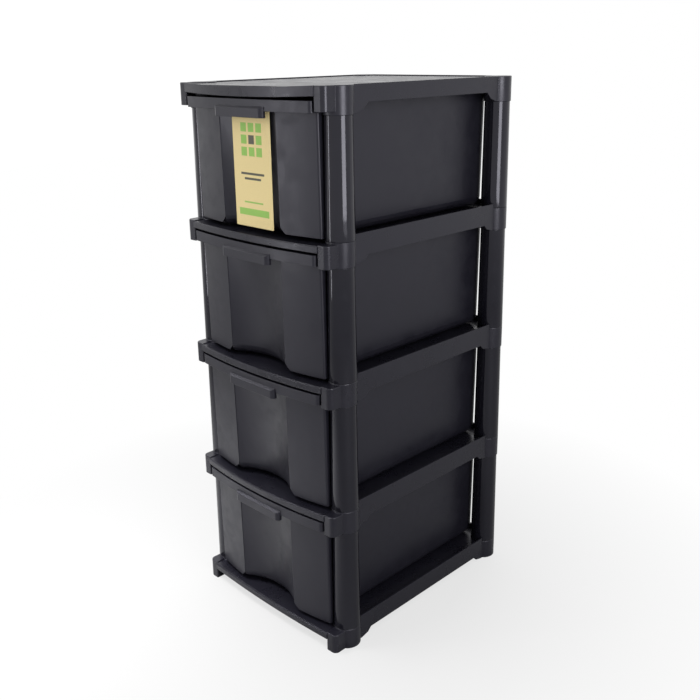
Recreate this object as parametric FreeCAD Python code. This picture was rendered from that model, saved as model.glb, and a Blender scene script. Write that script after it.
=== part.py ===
# Four-drawer storage tower: moulded frames and a lid on hollow round posts, with sliding drawers.
# Millimetres, +Z up, front towards -Y, origin at the middle of the footprint on the floor.
import FreeCAD, Part
import math
import os

os.makedirs("parts", exist_ok=True)

# Layout of the tower
TIERS = 4
TIER_PITCH = 196.4
BASE_RAIL_TOP = 38.7
POST_SPREAD_X = 282.6
POST_SPREAD_Y = 341.2

# Posts
POST_FOOT_RADIUS = 20.4
POST_HEAD_RADIUS = 19.2
POST_WALL = 2.2
POST_FOOT_SPIGOT = 8.0
POST_HEAD_SPIGOT = 24.0
SPIGOT_STEP = 5.4
SPIGOT_CLEARANCE = 0.3

# Corner columns of the frames and the lid
COLUMN_WALL = 2.8
COLUMN_DECK = 3.0
DECK_DROP = 6.5
SKIRT_DROP = 41.2
COLUMN_EDGE = 1.2

# Rails and aprons
RAIL_WALL = 3.0
RAIL_INSET = 8.1
RAIL_DEPTH = 31.4
FLARE_KNEE_DROP = 6.4
FLARE_END_DROP = 9.6
FLARE_LENGTH = 13.0
POST_GAP = 0.3

# Lobes in front of the front columns
LOBE_OUTER_OFFSET = 12.0
LOBE_INNER_OFFSET = 6.8
LOBE_REACH = 36.7
LOBE_WALL = 2.4
LOBE_TOP_DROP = 8.7
LOBE_BOTTOM_DROP = 40.0
LOBE_OUTER_RADIUS = 8.0
LOBE_INNER_RADIUS = 2.0
LOBE_EDGE = 1.2

# Bowed front lip
BOW = 10.5
LIP_SETBACK = 1.3
LIP_TOP_DROP = 11.0
LIP_HEIGHT = 8.4
LIP_WALL = 2.6
BASE_BOW = 4.5
BASE_LIP_TOP_DROP = 11.7

# Floor of a frame
FLOOR_DROP = 10.0
FLOOR_WALL = 2.5
RUNNER_HEIGHT = 2.0
RUNNER_WIDTH = 5.0
RUNNER_X = 88.0
RIB_WALL = 2.0
RIB_DEPTH = 7.0
CROSS_RIBS = 3
LONG_RIBS = 2

# Lid
LID_HEIGHT = 36.9
LID_RAIL_DEPTH = 23.0
LID_LOBE_DEPTH = 32.0
LID_FLARE_KNEE_DROP = 9.0
LID_FLARE_END_DROP = 13.5
LID_APRON_DEPTH = 12.9
LID_RIM = 1.8
LID_WALL = 2.6
LID_DIP = 3.0

# Drawers
DRAWER_HEIGHT = 181.0
DRAWER_POST_GAP = 1.0
DRAWER_REAR_GAP = 2.5
DRAWER_WALL = 2.4
DRAWER_SIDE_DRAFT = 2.0
DRAWER_END_DRAFT = 2.0
DRAWER_BOTTOM_RADIUS = 15.0
DRAWER_REAR_EASE = 1.0
DRAWER_FRONT_RADIUS = 24.0
SLIDE_CLEARANCE = 0.3
BOTTOM_STEPS = 4
CREASE_X = 60.0
SCOOP_TOP_DEPTH = 5.0
SCOOP_BOTTOM_DEPTH = 20.0
PANEL_BOW = 14.8
PANEL_SETBACK = 13.8
EAR_INSET = 11.8
EAR_RADIUS = 3.0
EAR_BOTTOM = 4.0
EAR_CHAMFER = 9.0
EAR_PROUD = 0.8
EAR_POST_GAP = 0.5

# Band along the top of a drawer's front
BAND_HEIGHT = 15.0
BAND_WALL = 2.4
BAND_END_GAP = 3.2
BAND_END_RADIUS = 5.0
BAND_POST_GAP = 1.6

# Hooded grip in the middle of the band
GRIP_ROOT_HALF_WIDTH = 50.5
GRIP_NOSE_HALF_WIDTH = 41.0
GRIP_TOP_DROP = 9.0
GRIP_BOTTOM_DROP = 23.5
GRIP_NOSE = 4.0
GRIP_NOSE_DROP = 11.5
GRIP_WALL = 2.4

# Travel and stops of a drawer
DRAWER_TRAVEL = 280.0
STOP_WIDTH = 70.0
STOP_WALL = 4.0
STOP_GAP = 0.5
STOP_SETBACK = 12.0

# Card on the top drawer
CARD_WIDTH = 79.3
CARD_THICKNESS = 0.6
CARD_OFFSET_X = 10.0
CARD_RISE = 2.8
CARD_TOP_GAP = 0.3
CARD_CREASE_GAP = 0.3

# One overrun serves every cut
OVERRUN = 1.0

# Values worked out from the ones above
POST_X = POST_SPREAD_X / 2
POST_Y = POST_SPREAD_Y / 2
POST_LENGTH = TIER_PITCH - SKIRT_DROP + DECK_DROP
RAIL_OUTER_X = POST_X + POST_FOOT_RADIUS - RAIL_INSET
RAIL_OUTER_Y = POST_Y + POST_FOOT_RADIUS - RAIL_INSET
LOBE_OUTER_X = POST_X + LOBE_OUTER_OFFSET
LOBE_INNER_X = POST_X - LOBE_INNER_OFFSET
LOBE_FRONT_Y = -POST_Y - LOBE_REACH
LIP_END_Y = LOBE_FRONT_Y - LIP_SETBACK
FRONT_REACH = -LIP_END_Y + BOW + GRIP_NOSE
REAR_REACH = POST_Y + POST_FOOT_RADIUS
SHIFT_Y = (FRONT_REACH - REAR_REACH) / 2
SPIGOT_RADIUS = POST_FOOT_RADIUS - SPIGOT_STEP
SOCKET_RADIUS = POST_FOOT_RADIUS - COLUMN_WALL
DRAWER_HALF_WIDTH = POST_X - POST_FOOT_RADIUS - DRAWER_POST_GAP
DRAWER_REAR_RADIUS = DRAWER_BOTTOM_RADIUS + DRAWER_REAR_EASE
EAR_HALF_WIDTH = POST_X - EAR_INSET
LID_BOTTOM = BASE_RAIL_TOP + (TIERS - 1) * TIER_PITCH - DECK_DROP + POST_LENGTH
LID_TOP = LID_BOTTOM + LID_HEIGHT


def point(x, y, z=0):
    return FreeCAD.Vector(x, y, z)


def line(a, b):
    return Part.LineSegment(a, b).toShape()


def arc(a, b, c):
    return Part.Arc(a, b, c).toShape()


def raise_edges(edges, low, high):
    """Closed plan outline, drawn at z = 0, made into a solid from low to high."""
    face = Part.Face(Part.Wire(edges))
    face.translate(point(0, 0, low))
    return face.extrude(point(0, 0, high - low))


def polygon_edges(corners):
    return [line(corners[i - 1], corners[i]) for i in range(len(corners))]


def block(x0, x1, y0, y1, z0, z1):
    return Part.makeBox(x1 - x0, y1 - y0, z1 - z0, point(x0, y0, z0))


def fuse_all(shapes):
    return shapes[0].multiFuse(shapes[1:])


def mirror_x(shape):
    return shape.mirror(point(0, 0), point(1, 0))


class Bow:
    """Front curve in plan: an arc that stands out by depth at x = 0 over the lip's ends."""

    def __init__(self, depth, end_y=LIP_END_Y, half_width=LOBE_INNER_X):
        self.radius = (half_width ** 2 + depth ** 2) / (2 * depth)
        self.centre = end_y - depth + self.radius

    def y(self, x, inset=0):
        return self.centre - math.sqrt((self.radius - inset) ** 2 - x ** 2)

    def edge(self, x0, x1, inset=0):
        middle = (x0 + x1) / 2
        stations = (x0, middle, x1)
        return arc(*[point(x, self.y(x, inset)) for x in stations])


FRONT = Bow(BOW)
BASE_FRONT = Bow(BASE_BOW)
PANEL = Bow(PANEL_BOW, LIP_END_Y + PANEL_SETBACK)


def bowed_region(bow, half_width, back_y, inset=0):
    """Plan outline with the bow in front, straight sides and a straight back."""
    front_left = point(-half_width, bow.y(half_width, inset))
    front_right = point(half_width, bow.y(half_width, inset))
    back_right = point(half_width, back_y)
    back_left = point(-half_width, back_y)
    return [
        bow.edge(-half_width, half_width, inset),
        line(front_right, back_right),
        line(back_right, back_left),
        line(back_left, front_left),
    ]


def corner_centres():
    return [point(sx * POST_X, sy * POST_Y) for sx in (-1, 1) for sy in (-1, 1)]


def cylinder_at(centre, radius, low, high):
    return Part.makeCylinder(radius, high - low, point(centre.x, centre.y, low))


def rail_profile(half_length, top, depth, knee_drop, end_drop, post_line):
    """Half apron seen square on, as (distance along, height), with its flared end."""
    return [
        (0, top),
        (half_length, top),
        (half_length, top - depth - end_drop),
        (post_line, top - depth - end_drop),
        (post_line - FLARE_LENGTH, top - depth - knee_drop),
        (post_line - FLARE_LENGTH - knee_drop, top - depth),
        (0, top - depth),
    ]


def side_rail(top, depth, knee_drop, end_drop):
    """Right side apron; the left one is its mirror image."""
    post_line = POST_Y - POST_FOOT_RADIUS
    half = rail_profile(POST_Y, top, depth, knee_drop, end_drop, post_line)
    full = half[:-1] + [(-along, height) for along, height in reversed(half[1:])]
    corners = [point(RAIL_OUTER_X - RAIL_WALL, along, height) for along, height in full]
    face = Part.Face(Part.Wire(polygon_edges(corners)))
    return face.extrude(point(RAIL_WALL, 0, 0))


def rear_rail(top, depth, knee_drop, end_drop):
    post_line = POST_X - POST_FOOT_RADIUS
    half = rail_profile(POST_X, top, depth, knee_drop, end_drop, post_line)
    full = half[:-1] + [(-along, height) for along, height in reversed(half[1:])]
    corners = [point(along, RAIL_OUTER_Y - RAIL_WALL, height) for along, height in full]
    face = Part.Face(Part.Wire(polygon_edges(corners)))
    return face.extrude(point(0, RAIL_WALL, 0))


def lobe(low, high):
    """Right front lobe: a hollow square pillar in front of the round column, open below."""
    back = -POST_Y - POST_FOOT_RADIUS / 2
    turn = 1 - math.sqrt(2) / 2
    outer = LOBE_OUTER_RADIUS
    inner = LOBE_INNER_RADIUS
    front = LOBE_FRONT_Y
    a = point(LOBE_INNER_X, back)
    b = point(LOBE_INNER_X, front + inner)
    b_mid = point(LOBE_INNER_X + inner * turn, front + inner * turn)
    c = point(LOBE_INNER_X + inner, front)
    d = point(LOBE_OUTER_X - outer, front)
    d_mid = point(LOBE_OUTER_X - outer * turn, front + outer * turn)
    e = point(LOBE_OUTER_X, front + outer)
    f = point(LOBE_OUTER_X, back)
    edges = [line(a, b), arc(b, b_mid, c), line(c, d), arc(d, d_mid, e), line(e, f), line(f, a)]
    solid = raise_edges(edges, low, high)
    rim = [e for e in solid.Edges if e.BoundBox.ZMin > high - LOBE_EDGE
           and e.BoundBox.YMin < back - LOBE_EDGE]
    return solid.makeFillet(LOBE_EDGE, rim)


def lobe_hollow(low, high):
    front = LOBE_FRONT_Y + LOBE_WALL
    back = -POST_Y - POST_FOOT_RADIUS - LOBE_WALL / 2
    x0 = LOBE_INNER_X + LOBE_WALL
    x1 = LOBE_OUTER_X - LOBE_WALL
    cut = (LOBE_OUTER_RADIUS - LOBE_WALL) / 2
    corners = [
        point(x0, front), point(x1 - cut, front), point(x1, front + cut), point(x1, back),
        point(x0, back),
    ]
    return raise_edges(polygon_edges(corners), low, high)


def column(centre, low, high):
    """Round corner column with a softened top edge."""
    radius = POST_FOOT_RADIUS
    turn = COLUMN_EDGE * (1 - math.sqrt(2) / 2)

    def p(out, height):
        return point(centre.x + out, centre.y, height)

    face = Part.Face(Part.Wire([
        line(p(0, low), p(radius, low)),
        line(p(radius, low), p(radius, high - COLUMN_EDGE)),
        arc(p(radius, high - COLUMN_EDGE), p(radius - turn, high - turn), p(radius - COLUMN_EDGE, high)),
        line(p(radius - COLUMN_EDGE, high), p(0, high)),
        line(p(0, high), p(0, low)),
    ]))
    return face.revolve(centre, point(0, 0, 1), 360)


def floor_ribs(low, high, depth_y, half_x):
    """Stiffening ribs under a floor: some across, some from front to back."""
    ribs = []
    front = -depth_y
    for k in range(CROSS_RIBS):
        y = front + (2 * depth_y) * (k + 1) / (CROSS_RIBS + 1)
        ribs.append(block(-half_x, half_x, y - RIB_WALL / 2, y + RIB_WALL / 2, low, high))
    for k in range(LONG_RIBS):
        x = -half_x + 2 * half_x * (k + 1) / (LONG_RIBS + 1)
        ribs.append(block(x - RIB_WALL / 2, x + RIB_WALL / 2, front, depth_y, low, high))
    return ribs


def plate(bow, low, high):
    """Flat floor between the rails, reaching forward to the lip between the lobes."""
    half_x = RAIL_OUTER_X - RAIL_WALL / 2
    back = RAIL_OUTER_Y - RAIL_WALL / 2
    main = block(-half_x, half_x, -POST_Y, back, low, high)
    nose = raise_edges(bowed_region(bow, LOBE_INNER_X + LOBE_WALL / 2, -POST_Y, LIP_WALL / 2),
                       low, high)
    return [main, nose]


def lip(bow, low, high):
    """Bowed strip between the two lobes."""
    half_width = LOBE_INNER_X + LOBE_WALL / 2
    outer = bow.edge(-half_width, half_width)
    inner = bow.edge(-half_width, half_width, LIP_WALL)
    right = line(point(half_width, bow.y(half_width)), point(half_width, bow.y(half_width, LIP_WALL)))
    left = line(point(-half_width, bow.y(half_width)), point(-half_width, bow.y(half_width, LIP_WALL)))
    return raise_edges([outer, right, inner, left], low, high)


def frame(rail_top, column_bottom, bow, lip_top_drop, rail_depth, knee_drop, end_drop):
    """Moulded shelf frame; rail_top is the height of its side rails above the floor."""
    deck = rail_top - DECK_DROP
    floor_top = rail_top - FLOOR_DROP
    floor_low = floor_top - FLOOR_WALL
    lobe_low = max(column_bottom, rail_top - LOBE_BOTTOM_DROP)
    lip_low = rail_top - lip_top_drop - LIP_HEIGHT
    rail = side_rail(rail_top, rail_depth, knee_drop, end_drop)
    solids = [rail, mirror_x(rail), rear_rail(rail_top, rail_depth, knee_drop, end_drop)]
    solids += [column(centre, column_bottom, deck) for centre in corner_centres()]
    front_lobe = lobe(lobe_low, rail_top - LOBE_TOP_DROP)
    solids += [front_lobe, mirror_x(front_lobe)]
    solids += plate(bow, floor_low, floor_top)
    solids.append(lip(bow, lip_low, rail_top - lip_top_drop))
    rib_low = floor_low - RIB_DEPTH
    half_x = RAIL_OUTER_X - RAIL_WALL
    solids += floor_ribs(rib_low, floor_low, POST_Y + RAIL_WALL, half_x)
    runner_back = POST_Y - POST_FOOT_RADIUS
    runner_front = -POST_Y
    for side in (-1, 1):
        x = side * RUNNER_X
        solids.append(block(x - RUNNER_WIDTH / 2, x + RUNNER_WIDTH / 2, runner_front, runner_back,
                            floor_low, floor_top + RUNNER_HEIGHT))
    stop_front = stop_rib_back() - STOP_WALL
    solids.append(block(-STOP_WIDTH / 2, STOP_WIDTH / 2, stop_front, stop_rib_back(),
                        floor_low, floor_top + stop_reach()))
    body = fuse_all(solids)
    cuts = []
    for centre in corner_centres():
        cuts.append(cylinder_at(centre, SOCKET_RADIUS, column_bottom - OVERRUN, deck - COLUMN_DECK))
        cuts.append(cylinder_at(centre, SPIGOT_RADIUS + SPIGOT_CLEARANCE, column_bottom, deck + OVERRUN))
        cuts.append(cylinder_at(centre, POST_FOOT_RADIUS + POST_GAP, deck, rail_top + OVERRUN))
    hollow = lobe_hollow(lobe_low - OVERRUN, rail_top - LOBE_TOP_DROP - LOBE_WALL)
    cuts += [hollow, mirror_x(hollow)]
    return body.cut(cuts)


def stop_rib_back():
    """Rear face of the floor's stop rib, where the drawer's own stop ends its travel."""
    return drawer_stop_front() - DRAWER_TRAVEL - SLIDE_CLEARANCE


def stop_reach():
    """Height of both stop ribs: each clears the other part by the stop gap."""
    return RUNNER_HEIGHT + SLIDE_CLEARANCE - STOP_GAP


def drawer_rear_y():
    return RAIL_OUTER_Y - RAIL_WALL - DRAWER_REAR_GAP


def drawer_stop_front():
    return drawer_rear_y() - DRAWER_REAR_RADIUS - STOP_SETBACK


def lid():
    """Lid: recessed deck inside a rim, aprons all round, sockets for the top four posts."""
    solids = []
    rail = side_rail(LID_TOP, LID_RAIL_DEPTH, LID_FLARE_KNEE_DROP, LID_FLARE_END_DROP)
    rear = rear_rail(LID_TOP, LID_RAIL_DEPTH, LID_FLARE_KNEE_DROP, LID_FLARE_END_DROP)
    solids += [rail, mirror_x(rail), rear]
    solids += [column(centre, LID_BOTTOM, LID_TOP) for centre in corner_centres()]
    lobe_low = LID_TOP - LID_LOBE_DEPTH
    front_lobe = lobe(lobe_low, LID_TOP)
    solids += [front_lobe, mirror_x(front_lobe)]
    deck_top = LID_TOP - LID_RIM
    deck_low = deck_top - LID_WALL
    solids += plate(FRONT, deck_low, deck_top)
    solids.append(lid_apron())
    half_x = RAIL_OUTER_X - RAIL_WALL
    solids += floor_ribs(deck_low - RIB_DEPTH, deck_low, POST_Y + RAIL_WALL, half_x)
    body = fuse_all(solids)
    cuts = []
    for centre in corner_centres():
        cuts.append(cylinder_at(centre, SOCKET_RADIUS, LID_BOTTOM - OVERRUN, LID_TOP - COLUMN_DECK))
    hollow = lobe_hollow(lobe_low - OVERRUN, LID_TOP - LOBE_WALL)
    cuts += [hollow, mirror_x(hollow)]
    return body.cut(cuts)


def lid_apron():
    """Bowed apron of the lid, whose two edges sag in the middle."""
    half_width = LOBE_INNER_X + LOBE_WALL
    low = LID_TOP - LID_APRON_DEPTH
    front = LIP_END_Y - BOW - OVERRUN
    side = [
        arc(point(-half_width, front, LID_TOP), point(0, front, LID_TOP - LID_DIP),
            point(half_width, front, LID_TOP)),
        line(point(half_width, front, LID_TOP), point(half_width, front, low)),
        arc(point(half_width, front, low), point(0, front, low - LID_DIP),
            point(-half_width, front, low)),
        line(point(-half_width, front, low), point(-half_width, front, LID_TOP)),
    ]
    sagged = Part.Face(Part.Wire(side)).extrude(point(0, -front, 0))
    return lip(FRONT, low - LID_DIP, LID_TOP).common(sagged)


def post():
    """Hollow tapered post, its shoulder at z = 0, with a spigot at each end."""
    head_spigot = SOCKET_RADIUS - SPIGOT_CLEARANCE
    profile = [
        (SPIGOT_RADIUS - POST_WALL, -POST_FOOT_SPIGOT),
        (SPIGOT_RADIUS, -POST_FOOT_SPIGOT),
        (SPIGOT_RADIUS, 0),
        (POST_FOOT_RADIUS, 0),
        (POST_HEAD_RADIUS, POST_LENGTH),
        (head_spigot, POST_LENGTH),
        (head_spigot, POST_LENGTH + POST_HEAD_SPIGOT),
        (head_spigot - POST_WALL, POST_LENGTH + POST_HEAD_SPIGOT),
        (head_spigot - POST_WALL, POST_LENGTH - POST_WALL),
        (POST_HEAD_RADIUS - POST_WALL, POST_LENGTH - POST_WALL),
        (POST_FOOT_RADIUS - POST_WALL, POST_WALL),
        (SPIGOT_RADIUS - POST_WALL, POST_WALL),
    ]
    corners = [point(radius, 0, height) for radius, height in profile]
    face = Part.Face(Part.Wire(polygon_edges(corners)))
    return face.revolve(point(0, 0), point(0, 0, 1), 360)


def draft_at(height):
    """Share of the drafts that a drawer's walls have taken in at a height above its bottom."""
    return 1 - height / DRAWER_HEIGHT


def circle_y(centre, radius, x):
    return centre - math.sqrt(radius ** 2 - x ** 2)


def drawer_section(height, inset):
    """Closed plan outline of a drawer's basin at a height, drawn inwards by inset."""
    taper = draft_at(height)
    side = DRAWER_HALF_WIDTH - DRAWER_SIDE_DRAFT * taper - inset
    rear = drawer_rear_y() - DRAWER_END_DRAFT * taper - inset
    panel_radius = PANEL.radius - EAR_PROUD - DRAWER_END_DRAFT * taper - inset
    depth = SCOOP_TOP_DEPTH + (SCOOP_BOTTOM_DEPTH - SCOOP_TOP_DEPTH) * taper
    crease_y = circle_y(PANEL.centre, panel_radius + inset, CREASE_X)
    scoop_radius = (CREASE_X ** 2 + depth ** 2) / (2 * depth) + inset
    scoop_centre = crease_y + depth + inset - scoop_radius
    meet_y = (panel_radius ** 2 - scoop_radius ** 2 - PANEL.centre ** 2 + scoop_centre ** 2)
    meet_y = meet_y / (2 * (scoop_centre - PANEL.centre))
    meet_x = math.sqrt(scoop_radius ** 2 - (meet_y - scoop_centre) ** 2)
    scoop_back = scoop_centre + scoop_radius
    corner = DRAWER_FRONT_RADIUS - inset
    corner_x = side - corner
    corner_y = circle_y(PANEL.centre, panel_radius - corner, corner_x)
    reach = panel_radius / (panel_radius - corner)
    touch_x = corner_x * reach
    touch_y = PANEL.centre + (corner_y - PANEL.centre) * reach
    angle = math.atan2(touch_y - corner_y, touch_x - corner_x) / 2
    corner_mid = (corner_x + corner * math.cos(angle), corner_y + corner * math.sin(angle))
    panel_x = (meet_x + touch_x) / 2
    panel_y = circle_y(PANEL.centre, panel_radius, panel_x)
    back = DRAWER_REAR_RADIUS - inset
    turn = back * (1 - math.sqrt(2) / 2)

    def p(x, y):
        return point(x, y, height)

    half = [
        ((meet_x, meet_y), (panel_x, panel_y), (touch_x, touch_y)),
        ((touch_x, touch_y), corner_mid, (side, corner_y)),
        ((side, corner_y), None, (side, rear - back)),
        ((side, rear - back), (side - turn, rear - turn), (side - back, rear)),
    ]
    edges = [arc(p(-meet_x, meet_y), p(0, scoop_back), p(meet_x, meet_y))]
    for a, b, c in half:
        edges.append(arc(p(*a), p(*b), p(*c)) if b else line(p(*a), p(*c)))
    edges.append(line(p(side - back, rear), p(back - side, rear)))
    for c, b, a in reversed(half):
        a, c = (-a[0], a[1]), (-c[0], c[1])
        edges.append(arc(p(*a), p(-b[0], b[1]), p(*c)) if b else line(p(*a), p(*c)))
    return Part.Wire(edges)


def basin(floor, inset, top):
    """Drafted tub with a rounded lower edge, from its floor up to top."""
    radius = DRAWER_BOTTOM_RADIUS - inset
    wires = []
    for k in range(BOTTOM_STEPS + 1):
        angle = math.pi / 2 * k / BOTTOM_STEPS
        height = floor + radius * (1 - math.cos(angle))
        wires.append(drawer_section(height, inset + radius * (1 - math.sin(angle))))
    wires.append(drawer_section(top, inset))
    return Part.makeLoft(wires, True, True)


def ear_section(height):
    """Upright plate from the crease to past the side wall, turned back before the post."""
    taper = draft_at(height)
    radius = PANEL.radius - DRAWER_END_DRAFT * taper
    side = EAR_HALF_WIDTH
    start_x = CREASE_X + max(0, EAR_BOTTOM + EAR_CHAMFER - height)
    end_y = ear_end_y()
    wall = DRAWER_WALL
    corner_x = side - EAR_RADIUS
    corner_y = circle_y(PANEL.centre, radius - EAR_RADIUS, corner_x)

    def tangent(size, panel_radius):
        reach = panel_radius / (radius - EAR_RADIUS)
        x = corner_x * reach
        y = PANEL.centre + (corner_y - PANEL.centre) * reach
        angle = math.atan2(y - corner_y, x - corner_x) / 2
        middle = (corner_x + size * math.cos(angle), corner_y + size * math.sin(angle))
        return (x, y), middle

    def p(x, y):
        return point(x, y, height)

    (ox, oy), outer_mid = tangent(EAR_RADIUS, radius)
    (ix, iy), inner_mid = tangent(EAR_RADIUS - wall, radius - wall)
    outer_start = circle_y(PANEL.centre, radius, start_x)
    inner_start = circle_y(PANEL.centre, radius - wall, start_x)
    half = (start_x + ox) / 2
    return Part.Wire([
        arc(p(start_x, outer_start), p(half, circle_y(PANEL.centre, radius, half)), p(ox, oy)),
        arc(p(ox, oy), p(*outer_mid), p(side, corner_y)),
        line(p(side, corner_y), p(side, end_y)),
        line(p(side, end_y), p(side - wall, end_y)),
        line(p(side - wall, end_y), p(side - wall, corner_y)),
        arc(p(side - wall, corner_y), p(*inner_mid), p(ix, iy)),
        arc(p(ix, iy), p(half, circle_y(PANEL.centre, radius - wall, half)), p(start_x, inner_start)),
        line(p(start_x, inner_start), p(start_x, outer_start)),
    ])


def ear_end_y():
    offset = POST_X - EAR_HALF_WIDTH
    return -POST_Y - math.sqrt((POST_FOOT_RADIUS + EAR_POST_GAP) ** 2 - offset ** 2)


def band():
    """Rolled band: a bowed skirt hanging from the drawer's top edge, hollow behind."""
    half_width = LOBE_INNER_X - BAND_END_GAP
    offset = POST_X - half_width
    back = -POST_Y - math.sqrt((POST_FOOT_RADIUS + BAND_POST_GAP) ** 2 - offset ** 2)
    low = DRAWER_HEIGHT - BAND_HEIGHT
    outer = raise_edges(bowed_region(FRONT, half_width, back), low, DRAWER_HEIGHT)
    corners = [e for e in outer.Edges if e.BoundBox.ZLength > BAND_HEIGHT / 2
               and e.BoundBox.YMax < back - BAND_END_RADIUS]
    outer = outer.makeFillet(BAND_END_RADIUS, corners)
    inner_edges = bowed_region(FRONT, half_width - BAND_WALL, back + OVERRUN, BAND_WALL)
    inner = raise_edges(inner_edges, low - OVERRUN, DRAWER_HEIGHT - BAND_WALL)
    return outer.cut(inner)


def grip_wedge(inset):
    """Hood of the grip in outline, drawn inwards by inset for its hollow."""
    root = FRONT.y(0)
    back = root + GRIP_NOSE
    top = DRAWER_HEIGHT - GRIP_TOP_DROP
    nose = DRAWER_HEIGHT - GRIP_NOSE_DROP
    low = DRAWER_HEIGHT - GRIP_BOTTOM_DROP - (OVERRUN if inset else 0)
    front = root - GRIP_NOSE + inset
    side = [(back, top - inset), (root, top - inset), (front, nose), (front, low), (back, low)]
    corners = [point(-GRIP_ROOT_HALF_WIDTH, y, z) for y, z in side]
    face = Part.Face(Part.Wire(polygon_edges(corners)))
    solid = face.extrude(point(2 * GRIP_ROOT_HALF_WIDTH, 0, 0))
    wide = GRIP_ROOT_HALF_WIDTH - inset
    narrow = GRIP_NOSE_HALF_WIDTH - inset
    turn = math.sqrt(2) / 2
    round_x = narrow + (wide - narrow) * turn
    round_y = root + (front - root) * turn
    plan = [
        arc(point(-wide, root), point(-round_x, round_y), point(-narrow, front)),
        line(point(-narrow, front), point(narrow, front)),
        arc(point(narrow, front), point(round_x, round_y), point(wide, root)),
        line(point(wide, root), point(wide, back)),
        line(point(wide, back), point(-wide, back)),
        line(point(-wide, back), point(-wide, root)),
    ]
    return solid.common(raise_edges(plan, low, top))


def drawer():
    """One-piece drawer, its lowest face at z = 0."""
    body = basin(0, 0, DRAWER_HEIGHT)
    levels = (EAR_BOTTOM, EAR_BOTTOM + EAR_CHAMFER, DRAWER_HEIGHT)
    ear = Part.makeLoft([ear_section(level) for level in levels], True, True)
    stop = block(-STOP_WIDTH / 2, STOP_WIDTH / 2, drawer_stop_front(),
                 drawer_stop_front() + STOP_WALL, -stop_reach(), DRAWER_WALL / 2)
    body = fuse_all([body, ear, mirror_x(ear), band(), grip_wedge(0), stop])
    hollows = [basin(DRAWER_WALL, DRAWER_WALL, DRAWER_HEIGHT + OVERRUN), grip_wedge(GRIP_WALL)]
    return body.cut(hollows)


def card():
    """Thin card on the top drawer, hanging from under its band in front of the scoop."""
    crease_y = circle_y(PANEL.centre, PANEL.radius, CREASE_X)
    back = crease_y - CARD_CREASE_GAP
    left = CARD_OFFSET_X - CARD_WIDTH / 2
    top = DRAWER_HEIGHT - BAND_WALL - CARD_TOP_GAP
    low = EAR_BOTTOM + CARD_RISE
    return block(left, left + CARD_WIDTH, back - CARD_THICKNESS, back, low, top)


def save(shape, name, height=0):
    placed = shape.copy()
    placed.translate(point(0, SHIFT_Y, height))
    placed.exportStep("parts/" + name + ".step")


def main():
    save(lid(), "lid")
    shelf = frame(0, -SKIRT_DROP, FRONT, LIP_TOP_DROP, RAIL_DEPTH, FLARE_KNEE_DROP, FLARE_END_DROP)
    base_rise = BASE_RAIL_TOP
    base_rail_depth = base_rise - FLARE_END_DROP
    base = frame(base_rise, 0, BASE_FRONT, BASE_LIP_TOP_DROP, base_rail_depth,
                 FLARE_KNEE_DROP, FLARE_END_DROP)
    save(base, "base_frame")
    tub = drawer()
    tube = post()
    for tier in range(1, TIERS + 1):
        rail_top = BASE_RAIL_TOP + (TIERS - tier) * TIER_PITCH
        if tier < TIERS:
            save(shelf, "frame_%d" % tier, rail_top)
        bottom = rail_top - FLOOR_DROP + RUNNER_HEIGHT + SLIDE_CLEARANCE
        save(tub, "drawer_%d" % tier, bottom)
        for centre in corner_centres():
            depth = "front" if centre.y < 0 else "rear"
            side = "left" if centre.x < 0 else "right"
            placed = tube.copy()
            placed.translate(centre)
            save(placed, "post_%d_%s_%s" % (tier, depth, side), rail_top - DECK_DROP)
    top_bottom = BASE_RAIL_TOP + (TIERS - 1) * TIER_PITCH - FLOOR_DROP + RUNNER_HEIGHT
    save(card(), "drawer_card", top_bottom + SLIDE_CLEARANCE)


main()
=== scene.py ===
import math

import bmesh
import bpy
from mathutils import Matrix, Vector


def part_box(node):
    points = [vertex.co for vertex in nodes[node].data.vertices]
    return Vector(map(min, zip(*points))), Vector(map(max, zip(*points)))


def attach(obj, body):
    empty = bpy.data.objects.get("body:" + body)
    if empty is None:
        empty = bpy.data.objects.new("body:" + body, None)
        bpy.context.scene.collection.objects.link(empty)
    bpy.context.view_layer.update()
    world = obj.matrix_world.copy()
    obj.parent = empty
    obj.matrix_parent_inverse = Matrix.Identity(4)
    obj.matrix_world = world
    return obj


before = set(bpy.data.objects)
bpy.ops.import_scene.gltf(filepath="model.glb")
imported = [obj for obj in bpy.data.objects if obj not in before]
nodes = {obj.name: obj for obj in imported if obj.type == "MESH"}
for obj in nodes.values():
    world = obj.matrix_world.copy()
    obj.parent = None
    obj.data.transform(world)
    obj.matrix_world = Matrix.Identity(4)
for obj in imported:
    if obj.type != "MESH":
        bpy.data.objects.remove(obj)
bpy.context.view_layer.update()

# Camera, in metres from the middle of the four posts at the floor, and in degrees
CAMERA_PLACE = (0.9494, -0.9656, 0.8608)
CAMERA_YAW = 45.43
CAMERA_PITCH = 16.93
CAMERA_ROLL = -0.98
CAMERA_LENS = 44.98
CAMERA_SHIFT = (0.01096, -0.0479)
SENSOR_WIDTH = 36.0
VIEW_REACH = 50.0

# Plastics: linear colour, and finish as (roughness, mottle, strength of the skin's grain)
DRAWER_COLOUR = (0.0078, 0.0075, 0.0118)
FRAME_COLOUR = (0.0082, 0.0079, 0.0122)
POST_COLOUR = (0.006, 0.0058, 0.009)
DRAWER_FINISH = (0.38, 0.08, 0.03)
FRAME_FINISH = (0.3, 0.12, 0.03)
POST_FINISH = (0.08, 0.2, 0.02)
PLASTIC_IOR = 1.49
PLASTIC_SPECULAR = 0.41
PLASTIC_SPECULAR_TINT = (0.9, 0.89, 1.0, 1.0)
SPECK_LIGHTNESS = 1.9
# Lightness of the colour along edges, in random patches
EDGE_LIGHTNESS = 2.6
EDGE_RADIUS = 0.0011
EDGE_SAMPLES = 6
SKIN_DEPTH = 0.00025
WAVE_STRENGTH, WAVE_DEPTH = 0.08, 0.0012

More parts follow.
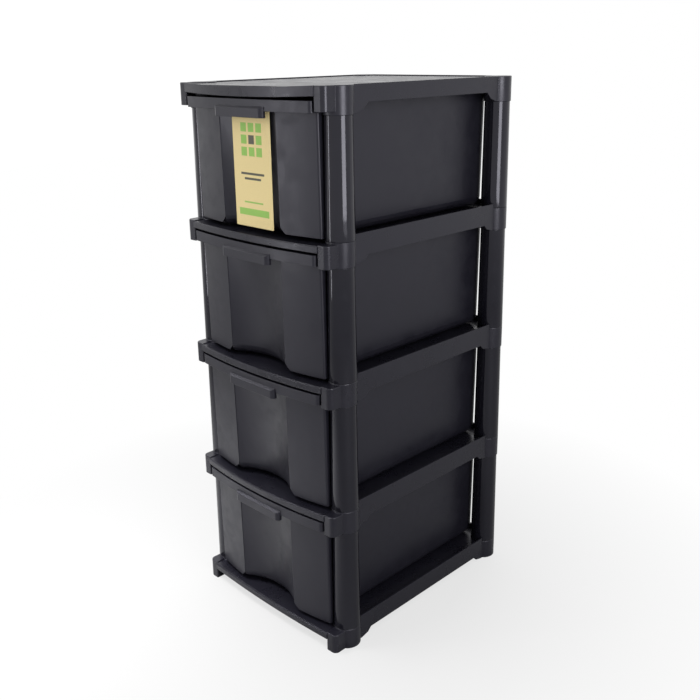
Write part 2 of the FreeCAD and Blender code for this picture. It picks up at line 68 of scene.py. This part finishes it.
# Noise of each layer: scale per metre, detail, distortion
FLOW_NOISE = (9.0, 4.0, 1.6)
SPECK_NOISE = (420.0, 2.0)
PATCH_NOISE = (46.0, 3.0, 0.6)
SKIN_NOISE = (2600.0, 2.0)
WAVE_NOISE = (17.0, 2.0, 0.8)
FIBRE_NOISE = (700.0, 4.0, 0.5)
FLECK_NOISE = (1500.0, 1.0)
INK_NOISE = (1100.0, 3.0)

# Card and its print; places and sizes on it are shares of its width and height
CARD_COLOUR = (0.80, 0.65, 0.32)
FIBRE_STRETCH = (1.0, 1.0, 3.2)
FIBRE_STRENGTH, FIBRE_DEPTH = 0.35, 0.0001
PRINT_GREEN = (0.27, 0.50, 0.09)
PRINT_DARK = (0.08, 0.075, 0.05)
PRINT_DEPTH = 0.00006
TILES_MIDDLE = (0.5, 0.70)
TILE_STEP = (0.2, 0.095)
TILE_SIZE = (0.15, 0.07)
RULES = [(0.5, 0.43, 0.62, 0.018), (0.5, 0.39, 0.44, 0.018)]
FOOT_BANDS = [(0.5, 0.12, 0.8, 0.055), (0.5, 0.2, 0.5, 0.012)]

# Lamps: name, place, target, (width, height) in metres, watts
LAMPS = [
    ("key", (-0.66, -1.19, 0.85), (0.1, -0.15, 0.85), (0.08, 1.3), 3.8),
    ("fill", (1.58, -0.37, 0.95), (0.14, -0.17, 0.95), (0.75, 1.1), 20),
    ("top", (0, 0, 3.0), (0, 0, 0), (2.0, 2.0), 14),
]
SWEEP_LAMP = ("sweep", (-0.55, -0.7, 1.5), (-0.35, -0.5, 0), (0.4, 0.4), 5)
SWEEP_SPREAD = 50

# Light of the world: direction, where it starts and is full as a cosine, strength
WORLD_LOBES = [
    ((-0.71, 0.71, 0), 0.0, 0.6, 0.8),
    ((-0.71, -0.71, 0), 0.1, 0.8, 0.5),
    ((0, 0, 1), 0.3, 0.9, 0.4),
]
WORLD_BASE = 0.2

# Floor; each fade is (start, end) in metres from its middle, then the white share there
FLOOR_SIZE = 12
FLOOR_GREY = (0.35, 0.35, 0.35, 1)
FLOOR_ROUGHNESS = 0.7
SEEN_FADE = (0.2, 0.75, 0.7, 1.0)
MIRRORED_FADE = (0.8, 4.0, 0.0, 1.0)


def new_material(name):
    material = bpy.data.materials.new(name)
    material.use_nodes = True
    tree = material.node_tree
    return material, tree, tree.nodes["Principled BSDF"]


def node(tree, kind, **inputs):
    made = tree.nodes.new(kind)
    for key, value in inputs.items():
        made.inputs[key].default_value = value
    return made


def object_space(tree):
    return tree.nodes.new("ShaderNodeTexCoord").outputs["Object"]


def noise(tree, space, scale, detail, distortion=0.0):
    made = node(tree, "ShaderNodeTexNoise", Scale=scale, Detail=detail, Distortion=distortion)
    tree.links.new(space, made.inputs["Vector"])
    return made.outputs["Fac"]


def ramp(tree, factor, low, high, value_low, value_high):
    """Clamped linear change from value_low at low to value_high at high."""
    made = tree.nodes.new("ShaderNodeMapRange")
    made.inputs["From Min"].default_value = low
    made.inputs["From Max"].default_value = high
    made.inputs["To Min"].default_value = value_low
    made.inputs["To Max"].default_value = value_high
    tree.links.new(factor, made.inputs["Value"])
    return made.outputs["Result"]


def math_node(tree, operation, a, b):
    made = tree.nodes.new("ShaderNodeMath")
    made.operation = operation
    for socket, value in zip(made.inputs, (a, b)):
        if isinstance(value, (int, float)):
            socket.default_value = value
        else:
            tree.links.new(value, socket)
    return made.outputs["Value"]


def vector_node(tree, operation, *inputs):
    made = tree.nodes.new("ShaderNodeVectorMath")
    made.operation = operation
    for socket, value in zip(made.inputs, inputs):
        if isinstance(value, tuple):
            socket.default_value = value
        else:
            tree.links.new(value, socket)
    return made.outputs["Value"]


def mix_colours(tree, factor, a, b):
    made = tree.nodes.new("ShaderNodeMix")
    made.data_type = "RGBA"
    factor_socket, a_socket, b_socket = made.inputs[0], made.inputs[6], made.inputs[7]
    tree.links.new(factor, factor_socket)
    for socket, value in ((a_socket, a), (b_socket, b)):
        if isinstance(value, tuple):
            socket.default_value = (*value, 1.0)
        else:
            tree.links.new(value, socket)
    return made.outputs[2]


def scaled(colour, factor):
    return tuple(channel * factor for channel in colour)


def moulded_plastic(name, colour, roughness, mottle, grain):
    """Recycled moulded plastic: flow marks, specks, a fine skin, and a lighter colour along edges
    in random patches.
    """
    material, tree, shader = new_material(name)
    space = object_space(tree)
    flow = noise(tree, space, *FLOW_NOISE)
    specks = noise(tree, space, *SPECK_NOISE)
    patches = noise(tree, space, *PATCH_NOISE)
    skin = noise(tree, space, *SKIN_NOISE)

    rounded = node(tree, "ShaderNodeBevel", Radius=EDGE_RADIUS)
    rounded.samples = EDGE_SAMPLES
    edge_normal = rounded.outputs["Normal"]
    surface = tree.nodes.new("ShaderNodeNewGeometry").outputs["Normal"]
    edge = ramp(tree, vector_node(tree, "DOT_PRODUCT", edge_normal, surface), 0.97, 0.78, 0.0, 1.0)
    # Base colour made lighter along edges, in random patches
    lighter_edge = math_node(tree, "MULTIPLY", edge, ramp(tree, patches, 0.45, 0.7, 0.0, 0.5))

    tone = mix_colours(tree, flow, scaled(colour, 1 - mottle), scaled(colour, 1 + mottle))
    speck_mask = ramp(tree, specks, 0.66, 0.72, 0.0, 0.35)
    tone = mix_colours(tree, speck_mask, tone, scaled(colour, SPECK_LIGHTNESS))
    tone = mix_colours(tree, lighter_edge, tone, scaled(colour, EDGE_LIGHTNESS))
    tree.links.new(tone, shader.inputs["Base Color"])

    worn = ramp(tree, patches, 0.3, 0.7, roughness - 0.05, roughness + 0.07)
    gloss = math_node(tree, "ADD", worn, ramp(tree, flow, 0.3, 0.7, -0.04, 0.04))
    tree.links.new(gloss, shader.inputs["Roughness"])

    relief = node(tree, "ShaderNodeBump", Strength=grain, Distance=SKIN_DEPTH)
    waves = node(tree, "ShaderNodeBump", Strength=WAVE_STRENGTH, Distance=WAVE_DEPTH)
    tree.links.new(noise(tree, space, *WAVE_NOISE), waves.inputs["Height"])
    tree.links.new(edge_normal, waves.inputs["Normal"])
    tree.links.new(skin, relief.inputs["Height"])
    tree.links.new(waves.outputs["Normal"], relief.inputs["Normal"])
    tree.links.new(relief.outputs["Normal"], shader.inputs["Normal"])

    shader.inputs["IOR"].default_value = PLASTIC_IOR
    shader.inputs["Specular IOR Level"].default_value = PLASTIC_SPECULAR
    shader.inputs["Specular Tint"].default_value = PLASTIC_SPECULAR_TINT
    return material


def card_stock():
    """Uncoated kraft card with short fibres and a few darker flecks."""
    material, tree, shader = new_material("kraft_card")
    space = object_space(tree)
    stretch = node(tree, "ShaderNodeMapping", Scale=FIBRE_STRETCH)
    tree.links.new(space, stretch.inputs["Vector"])
    fibres = noise(tree, stretch.outputs["Vector"], *FIBRE_NOISE)
    flecks = ramp(tree, noise(tree, space, *FLECK_NOISE), 0.68, 0.74, 0.0, 0.5)
    tone = mix_colours(tree, fibres, scaled(CARD_COLOUR, 0.9), scaled(CARD_COLOUR, 1.08))
    tone = mix_colours(tree, flecks, tone, scaled(CARD_COLOUR, 0.55))
    tree.links.new(tone, shader.inputs["Base Color"])
    tree.links.new(ramp(tree, fibres, 0.3, 0.7, 0.72, 0.86), shader.inputs["Roughness"])
    relief = node(tree, "ShaderNodeBump", Strength=FIBRE_STRENGTH, Distance=FIBRE_DEPTH)
    tree.links.new(fibres, relief.inputs["Height"])
    tree.links.new(relief.outputs["Normal"], shader.inputs["Normal"])
    return material


def ink(name, colour):
    """Print on the card: slightly uneven ink with the card's grain in it."""
    material, tree, shader = new_material(name)
    grain = noise(tree, object_space(tree), *INK_NOISE)
    tone = mix_colours(tree, grain, scaled(colour, 0.82), scaled(colour, 1.2))
    tree.links.new(tone, shader.inputs["Base Color"])
    tree.links.new(ramp(tree, grain, 0.3, 0.7, 0.5, 0.66), shader.inputs["Roughness"])
    return material


def print_piece(name, material, shapes):
    """Thin printed layer on the card; each shape is (x, z, width, height) as shares of it."""
    low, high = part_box("drawer_card")
    width, height = high.x - low.x, high.z - low.z
    mesh = bmesh.new()
    for share_x, share_z, share_w, share_h in shapes:
        x, z = low.x + share_x * width, low.z + share_z * height
        centre = Vector((x, low.y - PRINT_DEPTH, z))
        half_w, half_h = share_w * width / 2, share_h * height / 2
        corners = [mesh.verts.new(centre + Vector((side_x * half_w, 0, side_z * half_h)))
                   for side_x, side_z in ((-1, -1), (1, -1), (1, 1), (-1, 1))]
        mesh.faces.new(corners)
    data = bpy.data.meshes.new(name)
    mesh.to_mesh(data)
    mesh.free()
    piece = bpy.data.objects.new(name, data)
    piece.data.materials.append(material)
    bpy.context.scene.collection.objects.link(piece)
    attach(piece, "drawer_body_1")


def card_print():
    """Generic print: a block of green tiles round a dark one, two dark rules, green foot bands."""
    green = ink("ink_green", PRINT_GREEN)
    dark = ink("ink_dark", PRINT_DARK)
    middle_x, middle_z = TILES_MIDDLE
    steps = (-1, 0, 1)
    tiles = [(middle_x + column * TILE_STEP[0], middle_z + row * TILE_STEP[1], *TILE_SIZE)
             for column in steps for row in steps if (column, row) != (0, 0)]
    print_piece("card_tiles", green, tiles)
    print_piece("card_middle_tile", dark, [(*TILES_MIDDLE, *TILE_SIZE)])
    print_piece("card_rules", dark, RULES)
    print_piece("card_foot_band", green, FOOT_BANDS)


def dress():
    """Puts each node's look in place of the plain material of its slot."""
    looks = {
        "frame_plastic": moulded_plastic("frame_plastic_look", FRAME_COLOUR, *FRAME_FINISH),
        "post_plastic": moulded_plastic("post_plastic_look", POST_COLOUR, *POST_FINISH),
        "drawer_plastic": moulded_plastic("drawer_plastic_look", DRAWER_COLOUR, *DRAWER_FINISH),
        "card": card_stock(),
    }
    for part in nodes.values():
        for place in part.material_slots:
            look = looks[place.material.name]
            place.link = "OBJECT"
            place.material = look


def post_middle_y():
    front = sum(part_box("post_1_front_left"), Vector()) / 2
    rear = sum(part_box("post_1_rear_left"), Vector()) / 2
    return (front.y + rear.y) / 2


def camera():
    """Camera at the photo's viewing angle."""
    yaw, pitch, roll = (math.radians(v) for v in (CAMERA_YAW, CAMERA_PITCH, CAMERA_ROLL))
    flat = math.cos(pitch)
    back = Vector((math.sin(yaw) * flat, -math.cos(yaw) * flat, math.sin(pitch)))
    level = Vector((math.cos(yaw), math.sin(yaw), 0))
    right = level * math.cos(roll) + back.cross(level) * math.sin(roll)
    up = back.cross(right)
    data = bpy.data.cameras.new("camera")
    data.lens = CAMERA_LENS
    data.sensor_width = SENSOR_WIDTH
    data.shift_x, data.shift_y = CAMERA_SHIFT
    data.clip_end = VIEW_REACH
    seen = bpy.data.objects.new("camera", data)
    turn = Matrix((right, up, back)).transposed().to_4x4()
    place = Vector(CAMERA_PLACE) + Vector((0, post_middle_y(), 0))
    seen.matrix_world = Matrix.Translation(place) @ turn
    bpy.context.scene.collection.objects.link(seen)
    bpy.context.scene.camera = seen


def softbox(name, place, target, size, power):
    """Rectangular lamp that faces its target and isn't seen by the camera."""
    data = bpy.data.lights.new(name, "AREA")
    data.shape = "RECTANGLE"
    data.size, data.size_y = size
    data.energy = power
    lamp = bpy.data.objects.new(name, data)
    lamp.location = place
    lamp.rotation_mode = "QUATERNION"
    lamp.rotation_quaternion = (Vector(target) - Vector(place)).to_track_quat("-Z", "Y")
    lamp.visible_camera = False
    bpy.context.scene.collection.objects.link(lamp)
    return data


def lights():
    for lamp in LAMPS:
        softbox(*lamp)
    sweep = softbox(*SWEEP_LAMP)
    sweep.spread = math.radians(SWEEP_SPREAD)


def background():
    """White where it is seen, mirrored or seen through; as light, strongest behind and left."""
    world = bpy.data.worlds.new("studio")
    bpy.context.scene.world = world
    world.use_nodes = True
    tree = world.node_tree
    shader = tree.nodes["Background"]
    path = tree.nodes.new("ShaderNodeLightPath").outputs
    shown = math_node(tree, "MAXIMUM", path["Is Camera Ray"], path["Is Transmission Ray"])
    shown = math_node(tree, "MAXIMUM", shown, path["Is Glossy Ray"])
    direction = tree.nodes.new("ShaderNodeTexCoord").outputs["Generated"]
    level = WORLD_BASE
    for way, low, high, strength in WORLD_LOBES:
        cosine = vector_node(tree, "DOT_PRODUCT", direction, way)
        level = math_node(tree, "ADD", ramp(tree, cosine, low, high, 0.0, strength), level)
    shader.inputs["Color"].default_value = (1, 1, 1, 1)
    tree.links.new(math_node(tree, "MAXIMUM", level, shown), shader.inputs["Strength"])


def floor():
    """Pale floor that keeps the tower's shadow and fades into the white background."""
    bpy.ops.mesh.primitive_plane_add(size=FLOOR_SIZE, location=(0, 0, 0))
    ground = bpy.context.object
    ground.name = "floor"
    material, tree, shader = new_material("floor_white")
    shader.inputs["Base Color"].default_value = FLOOR_GREY
    shader.inputs["Roughness"].default_value = FLOOR_ROUGHNESS
    white = node(tree, "ShaderNodeEmission", Strength=1.0)
    distance = vector_node(tree, "LENGTH", object_space(tree))
    path = tree.nodes.new("ShaderNodeLightPath").outputs
    seen = math_node(tree, "MAXIMUM", path["Is Camera Ray"], path["Is Transmission Ray"])
    seen = math_node(tree, "MULTIPLY", seen, ramp(tree, distance, *SEEN_FADE))
    mirrored = ramp(tree, distance, *MIRRORED_FADE)
    mirrored = math_node(tree, "MULTIPLY", path["Is Glossy Ray"], mirrored)
    mix = tree.nodes.new("ShaderNodeMixShader")
    tree.links.new(math_node(tree, "MAXIMUM", seen, mirrored), mix.inputs["Fac"])
    tree.links.new(shader.outputs["BSDF"], mix.inputs[1])
    tree.links.new(white.outputs["Emission"], mix.inputs[2])
    tree.links.new(mix.outputs["Shader"], tree.nodes["Material Output"].inputs["Surface"])
    ground.data.materials.append(material)


dress()
card_print()
camera()
lights()
background()
floor()
bpy.context.scene.view_settings.view_transform = "Standard"
